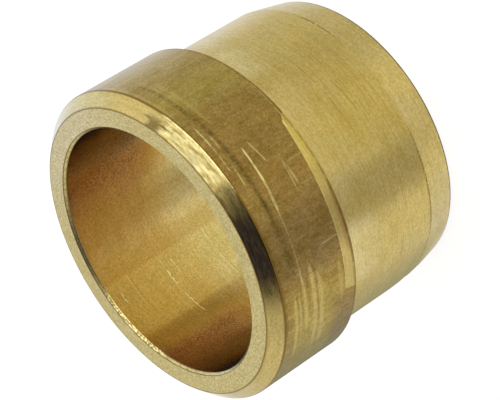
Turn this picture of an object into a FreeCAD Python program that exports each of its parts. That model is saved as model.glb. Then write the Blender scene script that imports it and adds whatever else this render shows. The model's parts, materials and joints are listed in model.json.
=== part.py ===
"""Compression olive: a turned brass ring that seals a 10 mm tube in a 24 degree cone fitting.

Millimetres. The ring stands on its nose end: the origin is the centre of that end,
+Z runs along the tube's axis towards the collar.
"""
import FreeCAD, Part
import math
import os

# Tube passage
TUBE_DIAMETER = 10.0
TUBE_CLEARANCE = 0.25
MOUTH_BREAK = 0.12

# Collar, which the nut pushes on
COLLAR_STEP = 0.45
COLLAR_LENGTH = 4.1
COLLAR_BEVEL = 0.49
COLLAR_EDGE_BREAK = 0.05

# Body and the tapered nose, which seats in the fitting
BODY_WALL = 0.925
BODY_LENGTH = 4.5
BODY_ROOT_RADIUS = 0.15
NOSE_LENGTH = 1.45
NOSE_CONE_ANGLE = 24.0
NOSE_EDGE_BREAK = 0.05

# Heights and radii that follow from the sizes above
SHOULDER_HEIGHT = NOSE_LENGTH + BODY_LENGTH
RING_LENGTH = SHOULDER_HEIGHT + COLLAR_LENGTH
BORE_RADIUS = (TUBE_DIAMETER + TUBE_CLEARANCE) / 2
BODY_RADIUS = BORE_RADIUS + BODY_WALL
COLLAR_RADIUS = BODY_RADIUS + COLLAR_STEP
NOSE_SLOPE = math.tan(math.radians(NOSE_CONE_ANGLE / 2))


def nose_radius(height):
    """Outside radius of the nose cone at a height above the nose end."""
    return BODY_RADIUS - (NOSE_LENGTH - height) * NOSE_SLOPE


def half_section():
    """Closed half section of the ring in the XZ plane, from the nose end up the outside and down the bore."""
    outside = [
        (nose_radius(0) - NOSE_EDGE_BREAK, 0),
        (nose_radius(NOSE_EDGE_BREAK), NOSE_EDGE_BREAK),
        (BODY_RADIUS, NOSE_LENGTH),
        (BODY_RADIUS, SHOULDER_HEIGHT - BODY_ROOT_RADIUS),
    ]
    collar = [
        (BODY_RADIUS + BODY_ROOT_RADIUS, SHOULDER_HEIGHT),
        (COLLAR_RADIUS - COLLAR_EDGE_BREAK, SHOULDER_HEIGHT),
        (COLLAR_RADIUS, SHOULDER_HEIGHT + COLLAR_EDGE_BREAK),
        (COLLAR_RADIUS, RING_LENGTH - COLLAR_BEVEL),
        (COLLAR_RADIUS - COLLAR_BEVEL, RING_LENGTH),
    ]
    bore = [
        (BORE_RADIUS + MOUTH_BREAK, RING_LENGTH),
        (BORE_RADIUS, RING_LENGTH - MOUTH_BREAK),
        (BORE_RADIUS, MOUTH_BREAK),
        (BORE_RADIUS + MOUTH_BREAK, 0),
    ]
    to_root = straight_edges(outside)
    to_nose_end = straight_edges(collar + bore + outside[:1])
    return Part.Wire(to_root + [root_arc()] + to_nose_end)


def straight_edges(points):
    """Straight edges through (radius, height) points."""
    corners = [FreeCAD.Vector(radius, 0, height) for radius, height in points]
    return [Part.makeLine(start, end) for start, end in zip(corners, corners[1:])]


def root_arc():
    """Quarter round that the tool's tip leaves between the body and the collar's shoulder."""
    centre_radius = BODY_RADIUS + BODY_ROOT_RADIUS
    centre_height = SHOULDER_HEIGHT - BODY_ROOT_RADIUS
    middle = BODY_ROOT_RADIUS * math.sqrt(0.5)
    return Part.Arc(
        FreeCAD.Vector(BODY_RADIUS, 0, centre_height),
        FreeCAD.Vector(centre_radius - middle, 0, centre_height + middle),
        FreeCAD.Vector(centre_radius, 0, SHOULDER_HEIGHT),
    ).toShape()


def compression_olive():
    """The whole ring, turned from its half section about the tube's axis."""
    section = Part.Face(half_section())
    return section.revolve(FreeCAD.Vector(0, 0, 0), FreeCAD.Vector(0, 0, 1), 360)


os.makedirs("parts", exist_ok=True)
compression_olive().exportStep("parts/compression_olive.step")
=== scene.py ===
"""Looks of the compression olive: the turned ring's surfaces, with a plain floor, light and camera.

Sizes are in millimetres and become metres where a mesh or an object is made.
A turn is an angle about the ring's axis in degrees: 0 faces -Y and 90 faces -X.
A depth is measured down from the collar's end face, along the axis.
"""
import json
import math

import bpy
from mathutils import Matrix, Vector


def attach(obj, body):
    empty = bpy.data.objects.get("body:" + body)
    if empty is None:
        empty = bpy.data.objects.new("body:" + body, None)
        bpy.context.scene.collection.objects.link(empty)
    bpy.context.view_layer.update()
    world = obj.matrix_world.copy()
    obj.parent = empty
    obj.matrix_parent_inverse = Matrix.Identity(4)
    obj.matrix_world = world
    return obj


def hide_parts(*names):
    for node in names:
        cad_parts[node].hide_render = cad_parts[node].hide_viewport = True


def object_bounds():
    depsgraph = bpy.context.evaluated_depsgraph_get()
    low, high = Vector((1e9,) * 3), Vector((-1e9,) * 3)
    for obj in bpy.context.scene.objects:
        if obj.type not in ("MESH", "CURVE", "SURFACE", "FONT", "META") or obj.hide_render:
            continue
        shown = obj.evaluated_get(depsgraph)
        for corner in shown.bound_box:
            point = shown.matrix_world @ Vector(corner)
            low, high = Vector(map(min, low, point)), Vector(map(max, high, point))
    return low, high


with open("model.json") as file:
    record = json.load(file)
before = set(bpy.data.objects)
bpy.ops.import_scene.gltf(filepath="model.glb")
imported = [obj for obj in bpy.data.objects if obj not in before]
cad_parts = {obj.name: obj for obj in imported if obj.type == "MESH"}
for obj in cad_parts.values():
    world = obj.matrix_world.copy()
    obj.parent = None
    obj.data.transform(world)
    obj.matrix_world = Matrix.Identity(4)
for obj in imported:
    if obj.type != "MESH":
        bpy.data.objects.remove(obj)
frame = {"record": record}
cad_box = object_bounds()

MM = 0.001
NODE = "compression_olive"
mounts = {mount["name"]: mount for mount in frame["record"]["mounts"]}

# Sizes of the ring: the CAD box is faceted, so its nearest side gives the radius that stays inside it
COLLAR_RADIUS = min(abs(corner[axis]) for corner in cad_box for axis in (0, 1)) / MM
RING_LENGTH = cad_box[1][2] / MM
BORE_RADIUS = mounts["tube_bore"]["dims"]["r_mm"]
BODY_RADIUS = mounts["body_outside"]["dims"]["r_mm"]
COLLAR_LENGTH = 4.1
COLLAR_BEVEL = 0.49
MOUTH_BREAK = 0.12
BODY_ROOT_RADIUS = 0.15
NOSE_LENGTH = 1.45
NOSE_HALF_ANGLE = 12.0
NOSE_SLOPE = math.tan(math.radians(NOSE_HALF_ANGLE))
NOSE_END_RADIUS = BODY_RADIUS - NOSE_LENGTH * NOSE_SLOPE
NOSE_LINE = RING_LENGTH - NOSE_LENGTH

# How far the rounding of an edge reaches from its corner
EDGE_ROUNDING = 0.03
OUTER_ROUNDING = 0.05
SHOULDER_ROUNDING = 0.015
FINE_ROUNDING = 0.005

# Fine groove where the nose starts, deep on some stretches (start turn, end turn) and faint elsewhere
NOSE_LINE_WIDTH = 0.06
NOSE_LINE_DEPTH = 0.02
NOSE_LINE_FAINT = 0.1
NOSE_LINE_FADE = 8.0
NOSE_LINE_STRETCHES = [(-46, -38), (17, 48)]

# Slight fall of the surface towards the nose line, on one stretch: more on the body than on the nose
EDGE_FALL_STRETCH = (66, 100)
EDGE_FALL_FADE = 16.0
EDGE_FALL_BODY = 0.075
EDGE_FALL_BODY_LENGTH = 1.0
EDGE_FALL_NOSE = 0.055
EDGE_FALL_NOSE_LENGTH = 0.8

# Shallow strip that a tool has cut into the collar's rear, along a spiral, from a pointed tip
STRIP_START = -16.5
STRIP_END = 48.4
STRIP_FRONT_DEPTH = 3.54
STRIP_FRONT_RISE = 0.32
STRIP_RISE_START = -17.0
STRIP_RISE_TURN = 18.0
STRIP_TIP_SLOPE = 0.07
STRIP_REAR_MARGIN = 0.1
STRIP_CUT = 0.02
# Depth of the strip's front edge in the plain profile, before its rows follow the spiral
STRIP_NOMINAL_DEPTH = STRIP_FRONT_DEPTH + STRIP_FRONT_RISE

# Mesh, with a row beside each rounding, at a multiple of its reach, that keeps the flat there flat
COLUMNS = 480
LONGEST_ROW = 0.5
ARC_STEPS = 4
SUPPORT_REACH = 1.5

# Brass, as linear colours
FRESH_BRASS = (0.56, 0.43, 0.15, 1)
PALE_BRASS = (0.54, 0.445, 0.185, 1)
CLEAN_BRASS = (0.65, 0.54, 0.27, 1)
COARSE_BRASS = (0.57, 0.49, 0.28, 1)
SKIN_BRASS = (0.335, 0.215, 0.068, 1)
DEEP_SKIN_BRASS = (0.27, 0.17, 0.06, 1)
WORN_BRASS = (0.42, 0.32, 0.085, 1)
OLIVE_BRASS = (0.37, 0.29, 0.08, 1)
TAN_BRASS = (0.46, 0.34, 0.11, 1)
WARM_BRASS = (0.34, 0.24, 0.02, 1)
BORE_BRASS = (0.68, 0.52, 0.225, 1)
# Painted reflection: gold of the bore's bright band
REFLECTED_GOLD = (0.76, 0.63, 0.29, 1)
# Painted shade on the bore's flanks, reddish and dark
REDDISH_BORE_SHADE = (0.56, 0.36, 0.29, 1)
DARK_BORE_SHADE = (0.32, 0.25, 0.34, 1)
BROWN_BRASS = (0.38, 0.25, 0.05, 1)
RUSTY_BRASS = (0.40, 0.22, 0.08, 1)
NEW_BRASS = (0.70, 0.55, 0.18, 1)
# Painted highlight: near white glints on scratches, rims, burrs and the bevel
PAINTED_GLINT = (1.0, 0.93, 0.48, 1)
# Painted shade: dark brown laid along edges, in the nose line's groove and towards the collar's limb
PAINTED_SHADE = (0.18, 0.10, 0.015, 1)
WHITE = (1, 1, 1, 1)

# How much red, green and blue vary where a surface turns paler, and where it turns cooler
PALING = (0.87, 1.0, 1.9)
COOLING = (-0.25, 0.05, 1.0)

# Noise, its middle value, and the values between which a tone swings and a mark breaks up
NOISE_DETAIL = 3.0
NOISE_ROUGHNESS = 0.5
NOISE_MIDDLE = 0.5
SWING_RANGE = (0.25, 0.75)
BREAK_RANGE = (0.32, 0.55)

# Weight of the radius beside the depth in a texture, so that it also runs across the ends
RADIUS_WEIGHT = 2.0

# Anisotropic rotation that spreads gloss along the ring's axis, across the turning rings
ALONG_AXIS = 0.25

# Turn over which a scratch fades out at its ends, and a ring, and the softness of a mark's sides
SCRATCH_FADE = 2.5
RING_FADE = 10.0
MARK_SOFTNESS = 0.6

# The numbers of the surfaces below have these forms:
# sizes of a texture are (size along the axis, size round it), and an amount may follow
# a stretch is (start turn, end turn, softness), and a colour and a strength make it a tone
# a mark is (start turn, end turn, start depth, end depth, width, strength)
# a range of a value is (value without, value with), and a strength or a factor of the tone may follow
# breaks are (size, least value)
# a finish holds shader values, with the bump in millimetres

# Body and nose: tone, relief and finish
BODY_TEXTURES = [(0.07, 0.11, 0.14), (0.08, 1.4, 0.07), (0.25, 0.45, 0.04), (0.7, 1.6, 0.05)]
BODY_DRIFT = (0.7, 1.0, 0.08)
BODY_RIDGES = (0.07, 2.0)
BODY_PITS = (0.1, 0.1)
BODY_PIT_SHARE = 0.5
BODY_FINISH = {"roughness": 0.27, "bump": 0.002, "anisotropy": 0.6}
# The body turns paler beside the collar on these stretches
PALE_DEPTHS = (6.2, 4.8)
PALE_TONES = [
    (-52, -39, 7, CLEAN_BRASS, 0.95),
    (-25, 16, 7, CLEAN_BRASS, 0.4),
    (32, 50, 7, CLEAN_BRASS, 0.85),
]
# Distance from the nose line over which the body's tones give way to the nose's
NOSE_BLEND = 0.1
NOSE_TONES = [
    (-70, -60, 8, COARSE_BRASS, 0.4),
    (-48, -33, 8, TAN_BRASS, 0.25),
    (-14, -5, 8, NEW_BRASS, 0.3),
    (3, 8, 8, TAN_BRASS, 0.3),
    (24, 42, 8, NEW_BRASS, 0.25),
    (36, 50, 8, COARSE_BRASS, 0.25),
]
BODY_TONES = [
    (-32, -18, 8, WORN_BRASS, 0.10),
    (-8, 3, 8, NEW_BRASS, 0.13),
    (9, 13, 8, WORN_BRASS, 0.20),
    (36, 44, 8, NEW_BRASS, 0.18),
]
BODY_DARK_RINGS = [
    (-34, 4, 6.37, 6.38, 0.08, 0.45),
    (-30, 8, 6.60, 6.61, 0.07, 0.35),
    (-14, -7, 6.99, 7.04, 0.12, 0.50),
    (-30, 20, 7.21, 7.22, 0.07, 0.35),
    (-25, 20, 7.87, 7.88, 0.08, 0.45),
    (-20, 10, 8.20, 8.21, 0.07, 0.30),
]
BODY_RING_BREAKS = (0.25, 0.0)
# Fine brown lines between two depths, with a softness, and brown specks all over
BODY_LINE_SIZES = (0.05, 1.6)
BODY_LINES = (0.60, 0.72, 0.4)
BODY_LINE_DEPTHS = (6.0, 8.2, 0.3)
BODY_SPECK_SIZES = (0.14, 0.14)
BODY_SPECKS = (0.70, 0.75, 0.7)
# Painted shade in the nose line, as (width, strength), and painted shade on the edge of the nose's end, by
# the distance from it
NOSE_LINE_SHADE = (0.13, 0.6)
NOSE_LINE_SHADE_FADE = 14.0
NOSE_LINE_BREAKS = (0.12, 0.0)
NOSE_END_SHADE = (0.11, 0.05, 0.2)

# Strip: tone, relief and finish
STRIP_TEXTURES = [(0.06, 2.0, 0.08), (0.08, 0.12, 0.12)]
STRIP_RIDGES = (0.06, 2.0)
STRIP_FINISH = {"roughness": 0.24, "bump": 0.002, "anisotropy": 0.6}
# Skin left at the tip, by the turn, and at the rear, by the distance behind the front edge
STRIP_TIP_SKIN = (-12, -18, 0.6)
STRIP_REAR_SKIN = (0.10, 0.30, 0.2)
STRIP_TONES = [(-10, -1, 8, NEW_BRASS, 1.0)]
STRIP_RUST = [(14, 31, 4.02, 3.97, 0.32, 0.6)]
STRIP_RUST_FADE = 6.0
# Painted highlight on the rim, by the distance behind the front edge, and a painted glint on a nick in it
STRIP_RIM = (0.07, 0.02, 0.2)
STRIP_RIM_BREAKS = (0.2, 0.0)
STRIP_NICKS = [(-14, -12, 3.85, 3.85, 0.10, 0.5)]
STRIP_NICK_FADE = 1.0

# Painted shade on the collar's rear edge, by the distance from it, with its strength off and on a stretch
REAR_EDGE_REACH = (0.14, 0.06)
REAR_EDGE_BREAKS = (0.3, 0.45)
REAR_EDGE_STRETCH = (14, 34, 12)
REAR_EDGE_STRENGTHS = (0.5, 0.8)

# End faces: tone, relief and finish, with painted shade beside the bevel, by the distance from it
FACE_TEXTURES = [(0.16, 0.8, 0.05), (0.16, 0.08, 0.30), (0.5, 0.3, 0.05)]
FACE_GRAINS = (0.08, 0.08)
FACE_FINISH = {"roughness": 0.38, "bump": 0.004, "anisotropy": 0.3}
# Paler on one side: partly painted light from that side, partly a coarser finish
FACE_TONES = [(-120, -90, 40, COARSE_BRASS, 0.8)]
FACE_SPECK_SIZES = (0.26, 0.13)
FACE_SPECKS = (0.58, 0.70, 0.4)
FACE_EDGE_SHADE = (0.055, 0.02, 0.8)

# Bevel: tone and finish, and the textures that its streaks follow
BEVEL_TEXTURES = [(0.25, 1.0, 0.10), (0.15, 0.12, 0.14)]
BEVEL_FINISH = {"roughness": 0.15, "bump": 0.006, "anisotropy": 0.3}
BEVEL_LINE_SIZES = (0.12, 1.2)
BEVEL_PATCH_SIZES = (0.5, 1.2)
BEVEL_SPARKLE_SIZES = (0.25, 0.40)
# A stretch of painted highlight with near white patches and sparks and with darker grooves and pits, and a
# stretch of painted shade
HIGHLIGHT_STRETCH = (-35, -10, 3)
HIGHLIGHT_PATCHES = (0.45, 0.60, 0.4)
HIGHLIGHT_GROOVES = (0.49, 0.38, 0.7)
HIGHLIGHT_SPARKS = (0.52, 0.62, 0.4)
HIGHLIGHT_PITS = (0.46, 0.36, 0.8)
SHADED_STRETCH = (-5, 32, 4)
SHADED_LINES = (0.35, 0.65, 0.75)
SHADED_PITS = (0.40, 0.60, 0.7)
# Painted dark reflections as (start turn, end turn, factor of the tone), with ragged sides, from one depth
# to another
BEVEL_DARK_REFLECTIONS = [(-41, -38, 0.42), (-21, -19, 0.75)]
DARK_REFLECTION_SOFTNESS = 3.5
DARK_REFLECTION_RAGGEDNESS = 16.0
DARK_REFLECTION_DEPTHS = (0.5, 0.12)
# Edges, by the distance from them: painted shade, and a painted glint on the rear edge's lit stretch
BEVEL_FRONT_SHADE = (0.045, 0.01, 0.65)
BEVEL_REAR_REACH = (0.05, 0.02)
BEVEL_REAR_SHADE = (*BEVEL_REAR_REACH, 0.85)
BEVEL_REAR_GLINT = (*BEVEL_REAR_REACH, 0.6)
LIT_STRETCH = (-36, -5, 4)
LIT_BREAKS = (0.15, 0.0)

# Mouths: tone, relief and finish, with painted shade on both borders, by the distance from them
MOUTH_TEXTURES = [(0.08, 0.12, 0.30)]
MOUTH_GRAINS = (0.1, 0.12)
MOUTH_FINISH = {"roughness": 0.30, "bump": 0.010, "anisotropy": 0.0}
MOUTH_SHADE_REACH = (0.038, 0.015)
MOUTH_OUTER_SHADE = (*MOUTH_SHADE_REACH, 0.95)
MOUTH_INNER_SHADE = (*MOUTH_SHADE_REACH, 0.9)
# A stretch of burrs painted as bright glints with painted shade in the gaps, where only a share of the inner
# border's painted shade stays
BURR_STRETCH = (140, 174, 4)
BURR_SIZES = (0.06, 0.10)
BURR_GLINTS = (0.48, 0.54, 0.9)
BURR_SHADES = (0.49, 0.44, 0.9)
BURR_SHADE_SHARE = 0.2

# Collar: tone, relief and finish
COLLAR_TEXTURES = [(0.3, 0.07, 0.10), (1.35, 0.25, 0.13), (0.08, 0.09, 0.22), (0.35, 0.7, 0.07)]
COLLAR_DRIFT = (0.8, 0.5, 0.09)
COLLAR_FURROWS = (0.4, 0.08)
COLLAR_FINISH = {"roughness": 0.27, "bump": 0.002, "anisotropy": 0.0}
# Worn and darker stretches of its skin, and a worn place with fresh specks
COLLAR_TONES = [
    (48, 58, 16, WORN_BRASS, 0.5),
    (-85, -38, 18, WORN_BRASS, 0.4),
    (-43, -38, 8, WORN_BRASS, 0.6),
    (-13, -8, 7, DEEP_SKIN_BRASS, 0.35),
    (7, 14, 7, DEEP_SKIN_BRASS, 0.4),
    (27, 33, 7, DEEP_SKIN_BRASS, 0.6),
]
WORN_TURNS = (44, 60, 9)
WORN_DEPTHS = (1.0, 2.5, 0.35)
WORN_STRENGTH = 0.5
WORN_SPECK_SIZES = (0.10, 0.15)
WORN_SPECKS = (0.50, 0.62, 0.42)
# Warmer skin towards its two sides, and painted shade near one side's limb
COLLAR_SIDE_TONES = [
    (-80, -66, 12, WARM_BRASS, 0.3),
    (64, 80, 16, WARM_BRASS, 0.7),
    (38, 60, 8, WARM_BRASS, 0.25),
    (74, 86, 10, PAINTED_SHADE, 0.25),
]
# Deeper skin at the front of one side, by the depth, and at its rear, past the end of the strip, with
# painted shade towards the limb
FRONT_SKIN_STRETCH = (44, 84, 10)
FRONT_SKIN = (1.15, 0.75, 0.4)
REAR_SKIN_START = (46, 52)
REAR_SKIN_END = (110, 80)
REAR_SKIN_DEPTHS = (2.7, 3.4)
REAR_SKIN_STRENGTH = 0.8
REAR_SKIN_SHADE = (56, 66, 0.6)
COLLAR_PATCH_SIZES = (0.35, 0.35)
COLLAR_PATCHES = (0.45, 0.65, 0.3)
# Rings and scratches round it, the scratches painted as bright glints
COLLAR_DARK_RINGS = [
    (-33, -24, 1.18, 1.20, 0.46, 0.30),
    (-15, 3, 1.22, 1.22, 0.50, 0.30),
    (8, 26, 1.22, 1.24, 0.60, 0.32),
    (-24, 10, 1.22, 1.22, 0.30, 0.20),
    (-52, -36, 1.14, 1.12, 0.34, 0.30),
    (41, 45, 1.15, 1.15, 0.14, 0.32),
    (40, 46, 1.37, 1.37, 0.14, 0.32),
    (38, 46, 1.72, 1.74, 0.16, 0.25),
    (38, 52, 2.15, 2.17, 0.14, 0.25),
]
COLLAR_WORN_RINGS = [
    (37, 50, 1.53, 1.54, 0.24, 0.8),
    (35, 60, 1.98, 2.00, 0.32, 0.9),
    (40, 60, 2.31, 2.33, 0.36, 0.8),
    (43, 60, 1.04, 1.04, 0.24, 0.7),
    (43, 54, 1.27, 1.27, 0.14, 0.5),
    (40, 46, 3.34, 3.34, 0.32, 0.5),
    (-64, -40, 0.62, 0.62, 0.24, 0.6),
    (-56, -42, 1.32, 1.30, 0.20, 0.35),
    (-48, -32, 1.52, 1.50, 0.24, 0.5),
]
COLLAR_SCRATCHES = [
    (-12, -2, 1.75, 1.71, 0.11, 0.7),
    (-3, 8, 1.72, 1.62, 0.15, 0.35),
    (6, 34, 1.60, 1.50, 0.08, 0.20),
    (-26, -20, 0.86, 0.84, 0.10, 0.5),
    (-18, -10, 0.83, 0.79, 0.07, 0.3),
    (-8, -4, 0.98, 0.96, 0.10, 0.35),
    (-21, -18, 1.08, 1.06, 0.10, 0.25),
    (-13, -7, 2.12, 2.24, 0.09, 0.35),
    (0, 4, 2.88, 2.90, 0.12, 0.3),
    (-3, 5, 2.80, 2.74, 0.08, 0.25),
    (-30, -17, 4.02, 3.98, 0.06, 0.3),
]
DARK_RING_SOFTNESS = 1.0
WORN_RING_SOFTNESS = 0.8
DARK_RING_BREAKS = (0.35, 0.4)
RING_GRAIN_BREAKS = (0.10, 0.3)
COLLAR_SCRATCH_BREAKS = (0.2, 0.4)
# Scratches along the axis, painted as bright glints, as (turn, start depth, end depth, strength): their
# sides are in degrees of turn
AXIAL_SCRATCHES = [
    (26.5, 2.80, 3.52, 0.22),
    (-2.5, 3.10, 3.65, 0.12),
    (20.5, 1.80, 2.20, 0.10),
    (6.0, 3.00, 3.50, 0.10),
]
AXIAL_HALF_WIDTH = 0.1
AXIAL_SIDE_SOFTNESS = 0.4
AXIAL_END_SOFTNESS = 0.1
# Painted shade beside the bevel, by the distance from it, and wider on one stretch
COLLAR_EDGE_SHADE = (0.08, 0.02, 0.8)
COLLAR_WIDE_SHADE = (0.20, 0.05, 0.6)
WIDE_SHADE_STRETCH = (12, 46, 10)
WIDE_SHADE_BREAKS = (0.3, 0.3)

# Bore: tone, relief and finish, with a tint where it is seen at a flat angle
BORE_TEXTURES = [(0.07, 0.09, 0.17), (0.08, 3.0, 0.05), (0.5, 0.8, 0.05)]
BORE_DRIFT = (0.6, 0.6, 0.05)
BORE_RIDGES = (0.08, 3.0)
BORE_FINISH = {"roughness": 0.20, "bump": 0.002, "anisotropy": 0.4, "edge_tint": (1, 0.95, 0.80, 1)}
# Painted shade beside its mouth, as (colour, range of turns on one side, range on the other, strength)
BORE_FLANK_SHADES = [
    (REDDISH_BORE_SHADE, (144, 132), (203, 228), 1.0),
    (REDDISH_BORE_SHADE, (134, 128), (184, 202), 0.3),
    (DARK_BORE_SHADE, (129, 112), (226, 245), 1.0),
]
FLANK_SHADE_STRETCH = (100, 260, 30)
FLANK_SHADE_DEPTHS = (5.0, 3.0)
FLANK_SPECK_SIZES = (0.07, 0.08)
FLANK_SHADE_SPECKS = (0.35, 0.65, 0.58)
# Painted reflections: a golden band, and golden streaks that show only deep inside
BORE_REFLECTED_BAND = [(150.5, 177.5, 2.2, REFLECTED_GOLD, 1.0)]
BORE_DEEP_REFLECTIONS = [(190, 199, 5, REFLECTED_GOLD, 0.6), (207, 212, 2.5, REFLECTED_GOLD, 0.7)]
BORE_DEEP_REFLECTION_DEPTHS = (3.0, 4.4)
# Scratches painted as bright glints, and cut into the bump as shallow grooves
BORE_SCRATCHES = [
    (145, 150, 2.90, 2.88, 0.08, 0.8),
    (151, 157, 2.88, 2.88, 0.08, 0.9),
    (163, 170, 2.88, 2.88, 0.08, 0.8),
    (170, 177, 2.88, 2.88, 0.06, 0.3),
    (167, 174, 3.34, 3.30, 0.06, 0.6),
    (152, 158, 5.30, 5.30, 0.06, 0.6),
    (161, 164, 5.30, 5.30, 0.06, 0.6),
    (174, 178, 5.30, 5.30, 0.06, 0.6),
    (168, 172, 0.60, 0.60, 0.06, 0.5),
    (162, 178, 1.27, 1.27, 0.06, 0.25),
]
BORE_SCRATCH_FADE = 1.0
BORE_SCRATCH_BREAKS = (0.2, 0.3)
# Depth of a scratch, as a multiple of the bore's bump
BORE_SCRATCH_DEPTH = 5.0

# Studio round the ring: white walls with soft panels, each as
# (direction, degrees to the edge of its even middle, degrees to its end, colour).
# The body and the collar mirror what is below the horizon, the bevel and the collar's end what is above it
STUDIO_PANELS = [
    ((0.25, -0.93, -0.25), 28, 44, (0.84, 0.79, 0.56, 1)),
    ((0.77, -0.05, -0.63), 12, 44, (0.82, 0.82, 0.70, 1)),
    ((0.77, -0.38, -0.50), 4, 20, (0.76, 0.73, 0.58, 1)),
    ((0.47, -0.82, 0.30), 10, 36, (1.60, 1.50, 1.20, 1)),
    ((0.60, 0.80, 0.07), 10, 44, (1.10, 1.22, 1.60, 1)),
    ((0.82, 0.16, 0.55), 10, 30, (1.12, 1.12, 1.10, 1)),
    ((-0.59, -0.62, -0.52), 8, 22, (0.52, 0.50, 0.43, 1)),
    ((-0.84, 0.15, -0.52), 10, 30, (0.98, 0.97, 0.91, 1)),
    ((-0.35, -0.46, -0.81), 3, 13, (0.89, 0.89, 0.85, 1)),
    ((-0.45, 0.89, 0.00), 8, 28, (0.80, 0.80, 0.76, 1)),
    ((-0.77, 0.57, 0.29), 20, 45, (0.92, 0.92, 0.90, 1)),
    ((-0.60, -0.28, 0.75), 20, 48, (0.72, 0.72, 0.70, 1)),
    ((-0.38, -0.43, 0.81), 25, 38, (0.28, 0.265, 0.26, 1)),
    ((-0.40, -0.42, 0.81), 14, 23, (0.065, 0.060, 0.12, 1)),
]

# Grey card that lies on the floor behind the ring, a painted shadow of the ring for its limb to mirror, as a
# part of a flat ring
CARD_INSIDE = 5.8
CARD_OUTSIDE = 28.0
CARD_TURNS = (60, 175)
CARD_STEPS = 24
# Its tones follow the turn about a pivot, from which the limb's mirrored rays seem to come
CARD_PIVOT = (-4.7, -3.3)
CARD_FADE = (98, 158)
CARD_DARKENING = (150, 176)
# Colours of the painted shadow
CARD_SHADOW_GREY = (0.47, 0.48, 0.32, 1)
CARD_SHADOW_DARK = (0.08, 0.08, 0.07, 1)
# Between these distances from the axis it grows from a share to its full strength
CARD_GROWTH = (5.9, 6.8)
CARD_NEAR_SHARE = 0.4
# It fades out between these turns about the pivot and these distances from the axis
CARD_END = (163, 174)
CARD_OUTER_FADE = (19.0, 28.0)

# Softbox: direction, distance and size in metres, and brightness, where 1 is white
LAMP_DIRECTION = Vector((0.47, -0.385, 0.795))
LAMP_DISTANCE = 0.25
LAMP_SIZE = 0.19
LAMP_BRIGHTNESS = 0.3

# Floor, in metres, just below the ring
FLOOR_HALF = 1.0
FLOOR_DROP = 0.005 * MM
FLOOR_COLOUR = (0.3, 0.3, 0.3, 1)
FLOOR_GLOW = 0.85

# Camera
CAMERA_TARGET = Vector((-0.223, 0.107, 5.201)) * MM
CAMERA_DISTANCE = 90.24 * MM
CAMERA_AZIMUTH = 0.17
CAMERA_ELEVATION = 31.53
CAMERA_ROLL = -122.26
CAMERA_LENS = 169.37
CAMERA_SENSOR = 36.0
CAMERA_CLIP_START = 1 * MM


def add_object(name, data):
    """A new object in the scene."""
    item = bpy.data.objects.new(name, data)
    bpy.context.scene.collection.objects.link(item)
    return item


def add_material(name):
    """A new material with nodes."""
    material = bpy.data.materials.new(name)
    material.use_nodes = True
    return material


class Graph:
    """Short calls that build a node tree."""

    def __init__(self, tree):
        self.tree = tree
        tree.nodes.clear()

    def node(self, kind, inputs=None, **settings):
        """A new node: settings are its properties, and each input is a value or a socket to link."""
        node = self.tree.nodes.new(kind)
        for name, value in settings.items():
            setattr(node, name, value)
        for key, value in (inputs or {}).items():
            if isinstance(value, bpy.types.NodeSocket):
                self.tree.links.new(value, node.inputs[key])
            else:
                node.inputs[key].default_value = value
        return node

    def math(self, operation, first, second=0.0):
        return self.node("ShaderNodeMath", {0: first, 1: second}, operation=operation).outputs[0]

    def add(self, first, second):
        return self.math("ADD", first, second)

    def subtract(self, first, second):
        return self.math("SUBTRACT", first, second)

    def multiply(self, first, second):
        return self.math("MULTIPLY", first, second)

    def distance(self, value, edge):
        """How far a value is from an edge, on either side of it."""
        return self.math("ABSOLUTE", self.subtract(value, edge))

    def ramp(self, value, low, high, at_low=0.0, at_high=1.0):
        """Smooth step from at_low, where the value is low or less, to at_high."""
        inputs = {"Value": value, "From Min": low, "From Max": high, "To Min": at_low, "To Max": at_high}
        return self.node("ShaderNodeMapRange", inputs, interpolation_type="SMOOTHSTEP").outputs[0]

    def band(self, value, low, high, soft):
        """1 between low and high, falling smoothly to 0 over the soft distance outside them."""
        rise = self.ramp(value, low - soft, low)
        fall = self.ramp(value, high, high + soft, 1.0, 0.0)
        return self.multiply(rise, fall)

    def mix(self, factor, first, second):
        """Colour between first, at factor 0, and second, at factor 1."""
        return self.node("ShaderNodeMix", {0: factor, 6: first, 7: second}, data_type="RGBA").outputs[2]

    def tint(self, colour, factor):
        """Colour times another colour or a number."""
        inputs = {0: 1.0, 6: colour, 7: factor}
        return self.node("ShaderNodeMix", inputs, data_type="RGBA", blend_type="MULTIPLY").outputs[2]

    def combine(self, x, y, z):
        return self.node("ShaderNodeCombineXYZ", {0: x, 1: y, 2: z}).outputs[0]

    def length(self, vector):
        return self.node("ShaderNodeVectorMath", {0: vector}, operation="LENGTH").outputs["Value"]

    def dot(self, vector, direction):
        inputs = {0: vector, 1: direction}
        return self.node("ShaderNodeVectorMath", inputs, operation="DOT_PRODUCT").outputs["Value"]

    def turn_at(self, x, y, far_side=False):
        """Turn of a place: from -180 to 180, or from 0 to 360 if the far side is to have no seam."""
        side = 1.0 if far_side else -1.0
        angle = self.math("ARCTAN2", self.multiply(x, side), self.multiply(y, side))
        degrees = self.multiply(angle, 180 / math.pi)
        return self.add(degrees, 180.0) if far_side else degrees

    def noise(self, vector):
        """Noise from 0 to 1 with features about one unit of the vector across."""
        inputs = {"Vector": vector, "Scale": 1.0, "Detail": NOISE_DETAIL, "Roughness": NOISE_ROUGHNESS}
        return self.node("ShaderNodeTexNoise", inputs).outputs["Fac"]


# Ring mesh


def strip_front(turn):
    """Depth of the strip's front edge, or of a margin before the collar's rear where there is no strip."""
    rear = COLLAR_LENGTH - STRIP_REAR_MARGIN
    if STRIP_START <= turn <= STRIP_END:
        rise = STRIP_FRONT_RISE * math.exp((STRIP_RISE_START - turn) / STRIP_RISE_TURN)
        return max(STRIP_FRONT_DEPTH + rise, rear - (turn - STRIP_START) * STRIP_TIP_SLOPE)
    return rear


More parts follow.
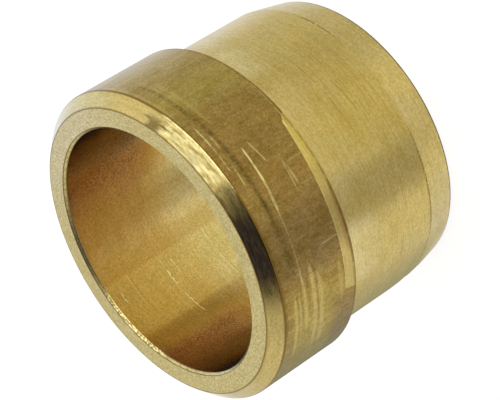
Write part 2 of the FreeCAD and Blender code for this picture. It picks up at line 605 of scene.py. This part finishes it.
def strip_cut(turn):
    """How far the strip lies below the collar's surface."""
    return STRIP_CUT if STRIP_START <= turn <= STRIP_END else 0.0


def nose_line_share(turn):
    """Share of the nose line's full depth at a turn."""
    shares = [NOSE_LINE_FAINT]
    for start, end in NOSE_LINE_STRETCHES:
        outside = max(start - turn, turn - end, 0.0)
        shares.append(1 - outside / NOSE_LINE_FADE)
    return max(shares)


def edge_fall(turn, depth):
    """How far the surface lies inside the plain body and nose, near the line between them."""
    start, end = EDGE_FALL_STRETCH
    outside = max(start - turn, turn - end, 0.0)
    along = max(1 - outside / EDGE_FALL_FADE, 0.0)
    if depth <= NOSE_LINE:
        near = max(1 - (NOSE_LINE - depth) / EDGE_FALL_BODY_LENGTH, 0.0)
        return EDGE_FALL_BODY * along * near ** 2
    near = max(1 - (depth - NOSE_LINE) / EDGE_FALL_NOSE_LENGTH, 0.0)
    return EDGE_FALL_NOSE * along * near ** 2


def rounded_corner(before, corner, after, reach):
    """Points of a rounded corner, with one more point on each side that keeps the flat beside it flat."""
    inward = (before - corner).normalized() * reach
    outward = (after - corner).normalized() * reach
    points = [corner + inward * SUPPORT_REACH]
    for step in range(ARC_STEPS + 1):
        along = step / ARC_STEPS
        points.append(corner + inward * (1 - along) ** 2 + outward * along ** 2)
    points.append(corner + outward * SUPPORT_REACH)
    return points


def profile_corners():
    """Corners of the ring's half section as (radius, depth, rounding, surface that follows)."""
    half_line = NOSE_LINE_WIDTH / 2
    return [
        (BORE_RADIUS, RING_LENGTH - MOUTH_BREAK, EDGE_ROUNDING, "bore"),
        (BORE_RADIUS, MOUTH_BREAK, EDGE_ROUNDING, "mouth"),
        (BORE_RADIUS + MOUTH_BREAK, 0, EDGE_ROUNDING, "end_face"),
        (COLLAR_RADIUS - COLLAR_BEVEL, 0, EDGE_ROUNDING, "bevel"),
        (COLLAR_RADIUS, COLLAR_BEVEL, EDGE_ROUNDING, "collar"),
        (COLLAR_RADIUS, STRIP_NOMINAL_DEPTH, FINE_ROUNDING, "strip"),
        (COLLAR_RADIUS, COLLAR_LENGTH, SHOULDER_ROUNDING, "shoulder"),
        (BODY_RADIUS, COLLAR_LENGTH, BODY_ROOT_RADIUS, "body"),
        (BODY_RADIUS, NOSE_LINE - half_line, FINE_ROUNDING, "nose_line"),
        (BODY_RADIUS - NOSE_LINE_DEPTH, NOSE_LINE, FINE_ROUNDING, "nose_line"),
        (BODY_RADIUS - half_line * NOSE_SLOPE, NOSE_LINE + half_line, FINE_ROUNDING, "nose"),
        (NOSE_END_RADIUS, RING_LENGTH, OUTER_ROUNDING, "nose_end"),
        (BORE_RADIUS + MOUTH_BREAK, RING_LENGTH, EDGE_ROUNDING, "mouth"),
    ]


def profile_rows():
    """Rows of the ring's mesh as (radius, depth, surface), once round the half section."""
    corners = profile_corners()
    count = len(corners)
    places = [Vector(corner[:2]) for corner in corners]
    rows = []
    for index, (_, _, rounding, surface) in enumerate(corners):
        before = corners[index - 1][3]
        arc = rounded_corner(places[index - 1], places[index], places[(index + 1) % count], rounding)
        middle = len(arc) // 2
        rows += [(point, before if step < middle else surface) for step, point in enumerate(arc)]
        next_rounding = corners[(index + 1) % count][2]
        run = places[(index + 1) % count] - arc[-1]
        pieces = int((run.length - next_rounding * SUPPORT_REACH) / LONGEST_ROW)
        rows += [(arc[-1] + run * step / (pieces + 1), surface) for step in range(1, pieces + 1)]
    return [(point.x, point.y, surface) for point, surface in rows]


def row_place(radius, depth, surface, turn):
    """Radius and depth of a row at a turn, with the strip, the nose line and the fall beside it."""
    if surface in ("body", "nose"):
        return radius - edge_fall(turn, depth), depth
    if surface == "nose_line":
        plain = BODY_RADIUS - max(depth - NOSE_LINE, 0.0) * NOSE_SLOPE
        return plain - (plain - radius) * nose_line_share(turn) - edge_fall(turn, depth), depth
    if surface not in ("collar", "strip"):
        return radius, depth
    front = strip_front(turn)
    if depth <= STRIP_NOMINAL_DEPTH:
        share = (depth - COLLAR_BEVEL) / (STRIP_NOMINAL_DEPTH - COLLAR_BEVEL)
        return radius, COLLAR_BEVEL + share * (front - COLLAR_BEVEL)
    share = (COLLAR_LENGTH - depth) / (COLLAR_LENGTH - STRIP_NOMINAL_DEPTH)
    return radius - strip_cut(turn), COLLAR_LENGTH - share * (COLLAR_LENGTH - front)


def row_lengths(rows):
    """Length along the half section from its start to each row, and at last once round it."""
    lengths = [0.0]
    for (radius, depth, _), (next_radius, next_depth, _) in zip(rows, rows[1:] + rows[:1]):
        lengths.append(lengths[-1] + math.hypot(next_radius - radius, next_depth - depth))
    return lengths


def ring_vertices(rows, turns):
    """Places of all rows, one turn after another."""
    vertices = []
    for turn in turns:
        across, along = -math.sin(math.radians(turn)), -math.cos(math.radians(turn))
        for row in rows:
            radius, depth = row_place(*row, turn)
            vertices.append((radius * across * MM, radius * along * MM, (RING_LENGTH - depth) * MM))
    return vertices


def ring_mesh(materials):
    """The ring's mesh: the profile's rows turned into columns, with a material for each surface."""
    rows = profile_rows()
    lengths = row_lengths(rows)
    turns = [column * 360 / COLUMNS - 180 for column in range(COLUMNS)]
    faces, slots, corners_uv = [], [], []
    names = list(materials)
    count = len(rows)
    for column, turn in enumerate(turns):
        next_column = (column + 1) % COLUMNS
        for row, (_, _, surface) in enumerate(rows):
            next_row = (row + 1) % count
            faces.append((
                column * count + row,
                next_column * count + row,
                next_column * count + next_row,
                column * count + next_row,
            ))
            if surface == "strip" and not STRIP_START <= turn < STRIP_END:
                surface = "collar"
            slots.append(names.index(surface))
            left, right = column / COLUMNS, (column + 1) / COLUMNS
            low, high = lengths[row] / lengths[-1], lengths[row + 1] / lengths[-1]
            corners_uv += [(left, low), (right, low), (right, high), (left, high)]
    mesh = bpy.data.meshes.new("olive_ring")
    mesh.from_pydata(ring_vertices(rows, turns), [], faces)
    for material in materials.values():
        mesh.materials.append(material)
    mesh.polygons.foreach_set("material_index", slots)
    mesh.polygons.foreach_set("use_smooth", [True] * len(faces))
    layer = mesh.uv_layers.new(name="OFBake")
    layer.uv.foreach_set("vector", [number for corner in corners_uv for number in corner])
    mesh.validate()
    mesh.update()
    return mesh


# Brass surfaces


class Surface(Graph):
    """A brass material's nodes, with the ring's own coordinates in millimetres and degrees."""

    def __init__(self, name, colour, far_side=False):
        self.material = add_material(name)
        super().__init__(self.material.node_tree)
        self.colour = colour
        place = self.node("ShaderNodeTexCoord").outputs["Object"]
        scaled = self.node("ShaderNodeVectorMath", {0: place, "Scale": 1 / MM}, operation="SCALE")
        axes = self.node("ShaderNodeSeparateXYZ", {0: scaled.outputs[0]})
        self.x, self.y, height = axes.outputs
        self.depth = self.subtract(RING_LENGTH, height)
        self.radius = self.length(self.combine(self.x, self.y, 0.0))
        self.turn = self.turn_at(self.x, self.y, far_side)

    def texture(self, along, around):
        """Noise with features of one size along the axis, or across an end, and another round it."""
        reach = self.add(self.depth, self.multiply(self.radius, RADIUS_WEIGHT))
        x, y = self.multiply(self.x, 1 / around), self.multiply(self.y, 1 / around)
        return self.noise(self.combine(x, y, self.multiply(reach, 1 / along)))

    def mark(self, start, end, start_depth, end_depth, width, fade=SCRATCH_FADE, soft=MARK_SOFTNESS):
        """Mask of a mark from one turn and depth to another, with pointed ends and soft sides."""
        slope = (end_depth - start_depth) / (end - start)
        line = self.add(self.multiply(self.subtract(self.turn, start), slope), start_depth)
        offset = self.distance(self.depth, line)
        along = self.band(self.turn, start, end, fade)
        return self.ramp(self.subtract(along, self.multiply(offset, 2 / width)), 0.0, soft)

    def breaks(self, size, least):
        """Mask that breaks a mark up: mostly 1, with gaps where it falls to the least value."""
        return self.ramp(self.texture(size, size), *BREAK_RANGE, least, 1.0)

    def vary(self, along, around, amount, shares=PALING):
        """Moves the colour down and up by its shares of the amount, with a texture of these sizes."""
        below = [1 - amount * share for share in shares]
        above = [1 + amount * share for share in shares]
        swing = self.ramp(self.texture(along, around), *SWING_RANGE)
        self.colour = self.tint(self.colour, self.mix(swing, (*below, 1), (*above, 1)))

    def vary_all(self, textures, drift=None):
        """Lays each texture of a list over the colour, and then any drift from warm to cool."""
        for texture in textures:
            self.vary(*texture)
        if drift:
            self.vary(*drift, COOLING)

    def paint(self, mask, colour, strength=1.0):
        """Lays a colour over the surface where the mask is 1."""
        self.colour = self.mix(self.multiply(mask, strength), self.colour, colour)

    def shade(self, mask, factor):
        """Multiplies the colour by the factor where the mask is 1."""
        self.colour = self.tint(self.colour, self.ramp(mask, 0.0, 1.0, 1.0, factor))

    def paint_range(self, value, limits, colour, where=1.0):
        """Paints where a value has passed a range (value without, value with, strength)."""
        without, full, strength = limits
        self.paint(self.multiply(self.ramp(value, without, full), where), colour, strength)

    def shade_range(self, value, limits, where=1.0):
        """Shades where a value has passed a range (value without, value with, factor)."""
        without, full, factor = limits
        self.shade(self.multiply(self.ramp(value, without, full), where), factor)

    def paint_tones(self, tones, where=1.0):
        """Paints each tone of a list (start turn, end turn, softness, colour, strength)."""
        for start, end, soft, colour, strength in tones:
            stretch = self.band(self.turn, start, end, soft)
            self.paint(self.multiply(stretch, where), colour, strength)

    def paint_marks(self, marks, colour, where=1.0, fade=SCRATCH_FADE, soft=MARK_SOFTNESS):
        """Paints each mark of a list (start turn, end turn, start depth, end depth, width, strength)."""
        for *shape, strength in marks:
            self.paint(self.multiply(self.mark(*shape, fade, soft), where), colour, strength)

    def strip_front(self):
        """Depth of the strip's front edge at the turn."""
        fall = self.multiply(self.subtract(STRIP_RISE_START, self.turn), 1 / STRIP_RISE_TURN)
        rise = self.multiply(self.math("EXPONENT", fall), STRIP_FRONT_RISE)
        return self.add(rise, STRIP_FRONT_DEPTH)

    def rear_edge(self):
        """Painted shade along the collar's rear edge."""
        edge = self.ramp(self.distance(self.depth, COLLAR_LENGTH), *REAR_EDGE_REACH)
        broken = self.multiply(edge, self.breaks(*REAR_EDGE_BREAKS))
        stretch = self.band(self.turn, *REAR_EDGE_STRETCH)
        self.paint(broken, PAINTED_SHADE, self.ramp(stretch, 0.0, 1.0, *REAR_EDGE_STRENGTHS))

    def finish(self, height, roughness, bump, anisotropy, edge_tint=WHITE):
        """Metal with this colour, bumped by a height socket, and tinted where it is seen at a flat angle."""
        bumped = self.node("ShaderNodeBump", {"Strength": 1.0, "Distance": bump * MM, "Height": height})
        inputs = {
            "Base Color": self.colour,
            "Metallic": 1.0,
            "Roughness": roughness,
            "Specular Tint": edge_tint,
            "Normal": bumped.outputs[0],
        }
        if anisotropy:
            tangent = self.node("ShaderNodeTangent", direction_type="RADIAL", axis="Z")
            inputs["Anisotropic"] = anisotropy
            inputs["Anisotropic Rotation"] = ALONG_AXIS
            inputs["Tangent"] = tangent.outputs[0]
        shader = self.node("ShaderNodeBsdfPrincipled", inputs)
        self.node("ShaderNodeOutputMaterial", {"Surface": shader.outputs[0]})
        return self.material


def turned_brass():
    """Fine turned surface of the body and the nose, with broken rings and brown specks."""
    surface = Surface("turned_brass", FRESH_BRASS)
    surface.paint_tones(PALE_TONES, surface.ramp(surface.depth, *PALE_DEPTHS))
    on_nose = surface.ramp(surface.depth, NOSE_LINE - NOSE_BLEND, NOSE_LINE + NOSE_BLEND)
    surface.paint_tones(NOSE_TONES, on_nose)
    surface.paint_tones(BODY_TONES, surface.subtract(1.0, on_nose))
    surface.vary_all(BODY_TEXTURES, BODY_DRIFT)
    surface.paint_marks(BODY_DARK_RINGS, BROWN_BRASS, surface.breaks(*BODY_RING_BREAKS), RING_FADE)
    lined = surface.band(surface.depth, *BODY_LINE_DEPTHS)
    surface.paint_range(surface.texture(*BODY_LINE_SIZES), BODY_LINES, BROWN_BRASS, lined)
    surface.paint_range(surface.texture(*BODY_SPECK_SIZES), BODY_SPECKS, BROWN_BRASS)
    # Painted shade in the nose line's groove and on the rounded edge of the nose's end
    nose_lines = [(*stretch, NOSE_LINE, NOSE_LINE, *NOSE_LINE_SHADE) for stretch in NOSE_LINE_STRETCHES]
    surface.paint_marks(nose_lines, PAINTED_SHADE, surface.breaks(*NOSE_LINE_BREAKS), NOSE_LINE_SHADE_FADE)
    surface.shade_range(surface.distance(surface.depth, RING_LENGTH), NOSE_END_SHADE)
    pits = surface.multiply(surface.texture(*BODY_PITS), BODY_PIT_SHARE)
    return surface.finish(surface.add(surface.texture(*BODY_RIDGES), pits), **BODY_FINISH)


def cut_brass():
    """Strip that is freshly cut into the collar's rear, with a painted highlight along its front edge and
    some skin left.
    """
    surface = Surface("cut_brass", FRESH_BRASS)
    surface.paint_range(surface.turn, STRIP_TIP_SKIN, TAN_BRASS)
    surface.paint_tones(STRIP_TONES)
    surface.vary_all(STRIP_TEXTURES)
    behind = surface.subtract(surface.depth, surface.strip_front())
    surface.paint_range(behind, STRIP_REAR_SKIN, TAN_BRASS)
    surface.paint_marks(STRIP_RUST, RUSTY_BRASS, fade=STRIP_RUST_FADE)
    # Painted highlight along the front rim, then a painted glint on the nick
    surface.paint_range(behind, STRIP_RIM, PAINTED_GLINT, surface.breaks(*STRIP_RIM_BREAKS))
    surface.paint_marks(STRIP_NICKS, PAINTED_GLINT, fade=STRIP_NICK_FADE)
    surface.rear_edge()
    return surface.finish(surface.texture(*STRIP_RIDGES), **STRIP_FINISH)


def faced_brass():
    """Matte faced surface of the ends, paler and coarser on one side, the paleness partly painted light,
    with painted shade beside the bevel.
    """
    surface = Surface("faced_brass", PALE_BRASS)
    surface.paint_tones(FACE_TONES)
    surface.paint_range(surface.texture(*FACE_SPECK_SIZES), FACE_SPECKS, OLIVE_BRASS)
    surface.vary_all(FACE_TEXTURES)
    from_bevel = surface.distance(surface.radius, COLLAR_RADIUS - COLLAR_BEVEL)
    surface.paint_range(from_bevel, FACE_EDGE_SHADE, PAINTED_SHADE)
    return surface.finish(surface.texture(*FACE_GRAINS), **FACE_FINISH)


def bevel_brass():
    """Bright bevel with painted highlight in near white streaks on one stretch, painted shade on another,
    two painted dark reflections, and painted shade along its edges but a painted glint on the rear edge's
    lit stretch.
    """
    surface = Surface("bevel_brass", FRESH_BRASS)
    surface.vary_all(BEVEL_TEXTURES)
    lines = surface.texture(*BEVEL_LINE_SIZES)
    patches = surface.texture(*BEVEL_PATCH_SIZES)
    sparkle = surface.texture(*BEVEL_SPARKLE_SIZES)
    streaks = surface.multiply(surface.add(lines, patches), 1 / 2)
    # Painted highlight streaks where the softbox is mirrored, and painted shade where a dark panel is
    # mirrored
    highlighted = surface.band(surface.turn, *HIGHLIGHT_STRETCH)
    surface.paint_range(patches, HIGHLIGHT_PATCHES, PAINTED_GLINT, highlighted)
    surface.shade_range(streaks, HIGHLIGHT_GROOVES, highlighted)
    surface.paint_range(sparkle, HIGHLIGHT_SPARKS, PAINTED_GLINT, highlighted)
    surface.shade_range(sparkle, HIGHLIGHT_PITS, highlighted)
    shaded = surface.band(surface.turn, *SHADED_STRETCH)
    surface.shade_range(lines, SHADED_LINES, shaded)
    surface.shade_range(sparkle, SHADED_PITS, shaded)
    # Painted dark reflections with ragged sides
    shift = surface.multiply(surface.subtract(lines, NOISE_MIDDLE), DARK_REFLECTION_RAGGEDNESS)
    ragged_turn = surface.add(surface.turn, shift)
    across = surface.ramp(surface.depth, *DARK_REFLECTION_DEPTHS)
    for start, end, factor in BEVEL_DARK_REFLECTIONS:
        dark_reflection = surface.band(ragged_turn, start, end, DARK_REFLECTION_SOFTNESS)
        surface.shade(surface.multiply(dark_reflection, across), factor)
    # Painted shade along both edges, and a painted glint on the lit stretch of the rear edge
    surface.paint_range(surface.depth, BEVEL_FRONT_SHADE, PAINTED_SHADE)
    from_collar = surface.distance(surface.depth, COLLAR_BEVEL)
    lit = surface.band(surface.turn, *LIT_STRETCH)
    glinting = surface.multiply(lit, surface.breaks(*LIT_BREAKS))
    surface.paint_range(from_collar, BEVEL_REAR_GLINT, PAINTED_GLINT, glinting)
    surface.paint_range(from_collar, BEVEL_REAR_SHADE, PAINTED_SHADE, surface.subtract(1.0, lit))
    return surface.finish(streaks, **BEVEL_FINISH)


def mouth_brass():
    """Broken edge at the bore's two mouths, with thin borders of painted shade and, on one stretch, burrs
    painted as bright glints with painted shade between them.
    """
    surface = Surface("mouth_brass", PALE_BRASS, far_side=True)
    surface.vary_all(MOUTH_TEXTURES)
    burred = surface.band(surface.turn, *BURR_STRETCH)
    burrs = surface.texture(*BURR_SIZES)
    # Painted glints on the burrs and painted shade between them, then painted shade on both borders
    surface.paint_range(burrs, BURR_GLINTS, PAINTED_GLINT, burred)
    surface.paint_range(burrs, BURR_SHADES, BROWN_BRASS, burred)
    from_outside = surface.distance(surface.radius, BORE_RADIUS + MOUTH_BREAK)
    surface.paint_range(from_outside, MOUTH_OUTER_SHADE, PAINTED_SHADE)
    from_inside = surface.distance(surface.radius, BORE_RADIUS)
    staying = surface.ramp(burred, 1.0, 0.0, BURR_SHADE_SHARE, 1.0)
    surface.paint_range(from_inside, MOUTH_INNER_SHADE, PAINTED_SHADE, staying)
    return surface.finish(surface.texture(*MOUTH_GRAINS), **MOUTH_FINISH)


def paint_skin(surface):
    """Tones of the skin on the collar, with painted shade towards one side's limb. Gives the mask of its
    worn place.
    """
    surface.paint_tones(COLLAR_TONES)
    worn_depths = surface.band(surface.depth, *WORN_DEPTHS)
    worn = surface.multiply(surface.band(surface.turn, *WORN_TURNS), worn_depths)
    surface.paint(worn, WORN_BRASS, WORN_STRENGTH)
    # Warmer skin towards both sides, and painted shade near one side's limb
    surface.paint_tones(COLLAR_SIDE_TONES)
    front = surface.band(surface.turn, *FRONT_SKIN_STRETCH)
    surface.paint_range(surface.depth, FRONT_SKIN, DEEP_SKIN_BRASS, front)
    past_strip = surface.ramp(surface.turn, *REAR_SKIN_START)
    beside_strip = surface.multiply(past_strip, surface.ramp(surface.turn, *REAR_SKIN_END))
    rear = surface.multiply(beside_strip, surface.ramp(surface.depth, *REAR_SKIN_DEPTHS))
    surface.paint(rear, DEEP_SKIN_BRASS, REAR_SKIN_STRENGTH)
    # Painted shade towards the limb
    surface.paint_range(surface.turn, REAR_SKIN_SHADE, PAINTED_SHADE, rear)
    surface.paint_range(surface.texture(*COLLAR_PATCH_SIZES), COLLAR_PATCHES, OLIVE_BRASS)
    return worn


def paint_axial_scratches(surface):
    """Short scratches along the axis, painted as glints."""
    for turn, start, end, strength in AXIAL_SCRATCHES:
        low, high = turn - AXIAL_HALF_WIDTH, turn + AXIAL_HALF_WIDTH
        across = surface.band(surface.turn, low, high, AXIAL_SIDE_SOFTNESS)
        along = surface.band(surface.depth, start, end, AXIAL_END_SOFTNESS)
        surface.paint(surface.multiply(across, along), PAINTED_GLINT, strength)


def drawn_brass():
    """Browner skin of the drawn bar, left on the collar, with scratches and rings where it is worn, the
    scratches painted as glints, and painted shade beside the bevel and along the rear edge.
    """
    surface = Surface("drawn_brass", SKIN_BRASS)
    worn = paint_skin(surface)
    surface.vary_all(COLLAR_TEXTURES, COLLAR_DRIFT)
    surface.paint_range(surface.texture(*WORN_SPECK_SIZES), WORN_SPECKS, FRESH_BRASS, worn)
    grainy = surface.breaks(*RING_GRAIN_BREAKS)
    patchy = surface.multiply(surface.breaks(*DARK_RING_BREAKS), grainy)
    for *shape, strength in COLLAR_DARK_RINGS:
        ring = surface.mark(*shape, RING_FADE, DARK_RING_SOFTNESS)
        surface.shade(surface.multiply(ring, patchy), 1 - strength)
    surface.paint_marks(COLLAR_WORN_RINGS, FRESH_BRASS, grainy, RING_FADE, WORN_RING_SOFTNESS)
    # Scratches painted as bright glints
    surface.paint_marks(COLLAR_SCRATCHES, PAINTED_GLINT, surface.breaks(*COLLAR_SCRATCH_BREAKS))
    paint_axial_scratches(surface)
    # Painted shade beside the bevel, wider on one stretch
    from_bevel = surface.distance(surface.depth, COLLAR_BEVEL)
    surface.paint_range(from_bevel, COLLAR_EDGE_SHADE, PAINTED_SHADE)
    widely_shaded = surface.band(surface.turn, *WIDE_SHADE_STRETCH)
    broken = surface.multiply(widely_shaded, surface.breaks(*WIDE_SHADE_BREAKS))
    surface.paint_range(from_bevel, COLLAR_WIDE_SHADE, PAINTED_SHADE, broken)
    surface.rear_edge()
    return surface.finish(surface.texture(*COLLAR_FURROWS), **COLLAR_FINISH)


def bored_brass():
    """Satin bore with a golden band of painted reflection, painted shade beside its mouth on both sides, and
    a few scratches painted as bright glints.
    """
    surface = Surface("bored_brass", BORE_BRASS, far_side=True)
    flank_turns = surface.band(surface.turn, *FLANK_SHADE_STRETCH)
    flanks = surface.multiply(flank_turns, surface.ramp(surface.depth, *FLANK_SHADE_DEPTHS))
    specks = surface.texture(*FLANK_SPECK_SIZES)
    # Painted shade on the flanks beside the mouth, with darker specks in it
    for colour, left, right, strength in BORE_FLANK_SHADES:
        sides = surface.add(surface.ramp(surface.turn, *left), surface.ramp(surface.turn, *right))
        flank_shade = surface.multiply(surface.multiply(sides, flanks), strength)
        surface.paint(flank_shade, colour)
        surface.shade_range(specks, FLANK_SHADE_SPECKS, flank_shade)
    # Painted reflections: the golden band and the deep golden streaks
    surface.paint_tones(BORE_REFLECTED_BAND)
    surface.paint_tones(BORE_DEEP_REFLECTIONS, surface.ramp(surface.depth, *BORE_DEEP_REFLECTION_DEPTHS))
    surface.vary_all(BORE_TEXTURES, BORE_DRIFT)
    height = surface.texture(*BORE_RIDGES)
    breaks = surface.breaks(*BORE_SCRATCH_BREAKS)
    for *shape, strength in BORE_SCRATCHES:
        mark = surface.mark(*shape, BORE_SCRATCH_FADE)
        scratch = surface.multiply(surface.multiply(mark, breaks), strength)
        surface.paint(scratch, PAINTED_GLINT)
        height = surface.subtract(height, surface.multiply(scratch, BORE_SCRATCH_DEPTH))
    return surface.finish(height, **BORE_FINISH)


def build_ring():
    """The ring's visual piece, which stands for its CAD node."""
    turned, faced = turned_brass(), faced_brass()
    materials = {
        "bore": bored_brass(),
        "mouth": mouth_brass(),
        "end_face": faced,
        "bevel": bevel_brass(),
        "collar": drawn_brass(),
        "strip": cut_brass(),
        "shoulder": turned,
        "body": turned,
        "nose_line": turned,
        "nose": turned,
        "nose_end": faced,
    }
    ring = add_object("olive_ring", ring_mesh(materials))
    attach(ring, "root")
    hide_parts(NODE)


# Floor, light and camera


def flat_object(name, corners, faces):
    """A new flat object with a material of its own, and that material's node graph."""
    mesh = bpy.data.meshes.new(name)
    mesh.from_pydata(corners, [], faces)
    material = add_material(name)
    mesh.materials.append(material)
    return add_object(name, mesh), Graph(material.node_tree)


def build_floor():
    """Pale floor that keeps the ring's shadow and is clear from below. Mirrored rays don't see it."""
    sides = (-FLOOR_HALF, FLOOR_HALF)
    corners = [(x, y, -FLOOR_DROP) for y in sides for x in sides]
    floor, graph = flat_object("floor", corners, [(0, 1, 3, 2)])
    matte = graph.node("ShaderNodeBsdfDiffuse", {"Color": FLOOR_COLOUR})
    white = graph.node("ShaderNodeEmission", {"Color": WHITE, "Strength": FLOOR_GLOW})
    top = graph.node("ShaderNodeAddShader", {0: matte.outputs[0], 1: white.outputs[0]})
    clear = graph.node("ShaderNodeBsdfTransparent")
    below = graph.node("ShaderNodeNewGeometry").outputs["Backfacing"]
    both = graph.node("ShaderNodeMixShader", {0: below, 1: top.outputs[0], 2: clear.outputs[0]})
    graph.node("ShaderNodeOutputMaterial", {"Surface": both.outputs[0]})
    floor.visible_glossy = False


def build_shadow_card():
    """Card that stands for the ring's shadow on the floor, a glowing painted shadow that only mirrored rays
    see: it fades in from clear to grey, and on to dark.
    """
    first, last = CARD_TURNS
    corners = []
    for step in range(CARD_STEPS + 1):
        turn = math.radians(first + (last - first) * step / CARD_STEPS)
        for radius in (CARD_INSIDE, CARD_OUTSIDE):
            corners.append((-math.sin(turn) * radius * MM, -math.cos(turn) * radius * MM, 0))
    faces = [(2 * step, 2 * step + 1, 2 * step + 3, 2 * step + 2) for step in range(CARD_STEPS)]
    card, graph = flat_object("card", corners, faces)
    place = graph.node("ShaderNodeTexCoord").outputs["Object"]
    x, y, _ = graph.node("ShaderNodeSeparateXYZ", {0: place}).outputs
    pivot_x, pivot_y = CARD_PIVOT
    turn = graph.turn_at(graph.subtract(x, pivot_x * MM), graph.subtract(y, pivot_y * MM))
    colour = graph.mix(graph.ramp(turn, *CARD_DARKENING), CARD_SHADOW_GREY, CARD_SHADOW_DARK)
    from_axis = graph.multiply(graph.length(place), 1 / MM)
    growth = graph.ramp(from_axis, *CARD_GROWTH, CARD_NEAR_SHARE, 1.0)
    outer_fade = graph.ramp(from_axis, *CARD_OUTER_FADE, 1.0, 0.0)
    along = graph.multiply(graph.ramp(turn, *CARD_FADE), graph.ramp(turn, *CARD_END, 1.0, 0.0))
    mask = graph.multiply(along, graph.multiply(growth, outer_fade))
    clear = graph.node("ShaderNodeBsdfTransparent")
    grey = graph.node("ShaderNodeEmission", {"Color": colour, "Strength": 1.0})
    both = graph.node("ShaderNodeMixShader", {0: mask, 1: clear.outputs[0], 2: grey.outputs[0]})
    graph.node("ShaderNodeOutputMaterial", {"Surface": both.outputs[0]})
    card.visible_camera = False
    card.visible_diffuse = False
    card.visible_shadow = False


def build_world():
    """Soft studio: white walls with the panels laid over them, and plain white where the camera looks."""
    world = bpy.data.worlds.new("studio")
    bpy.context.scene.world = world
    world.use_nodes = True
    graph = Graph(world.node_tree)
    looking = graph.node("ShaderNodeTexCoord").outputs["Generated"]
    colour = WHITE
    for direction, middle, end, panel in STUDIO_PANELS:
        nearness = graph.dot(looking, Vector(direction).normalized())
        mask = graph.ramp(nearness, math.cos(math.radians(end)), math.cos(math.radians(middle)))
        colour = graph.mix(mask, colour, panel)
    studio = graph.node("ShaderNodeBackground", {"Color": colour, "Strength": 1.0})
    white = graph.node("ShaderNodeBackground", {"Color": WHITE, "Strength": 1.0})
    seen = graph.node("ShaderNodeLightPath").outputs["Is Camera Ray"]
    both = graph.node("ShaderNodeMixShader", {0: seen, 1: studio.outputs[0], 2: white.outputs[0]})
    graph.node("ShaderNodeOutputWorld", {"Surface": both.outputs[0]})


def build_lamp():
    """Softbox beside the camera."""
    light = bpy.data.lights.new("softbox", "AREA")
    light.size = LAMP_SIZE
    light.energy = LAMP_BRIGHTNESS * math.pi * LAMP_SIZE ** 2
    lamp = add_object("softbox", light)
    place = LAMP_DIRECTION * LAMP_DISTANCE
    lamp.matrix_world = Matrix.Translation(place) @ place.to_track_quat("Z", "Y").to_matrix().to_4x4()


def build_camera():
    """Camera at the photograph's view, rolled so that the standing ring leans as it does there."""
    azimuth, elevation = math.radians(CAMERA_AZIMUTH), math.radians(CAMERA_ELEVATION)
    away = Vector((
        math.sin(azimuth) * math.cos(elevation),
        -math.cos(azimuth) * math.cos(elevation),
        math.sin(elevation),
    ))
    data = bpy.data.cameras.new("camera")
    data.sensor_width = CAMERA_SENSOR
    data.sensor_fit = "HORIZONTAL"
    data.lens = CAMERA_LENS
    data.clip_start = CAMERA_CLIP_START
    camera = add_object("camera", data)
    aim = away.to_track_quat("Z", "Y").to_matrix().to_4x4()
    roll = Matrix.Rotation(math.radians(CAMERA_ROLL), 4, "Z")
    camera.matrix_world = Matrix.Translation(CAMERA_TARGET + away * CAMERA_DISTANCE) @ aim @ roll
    bpy.context.scene.camera = camera


bpy.context.scene.view_settings.view_transform = "Standard"
build_ring()
build_floor()
build_shadow_card()
build_world()
build_lamp()
build_camera()
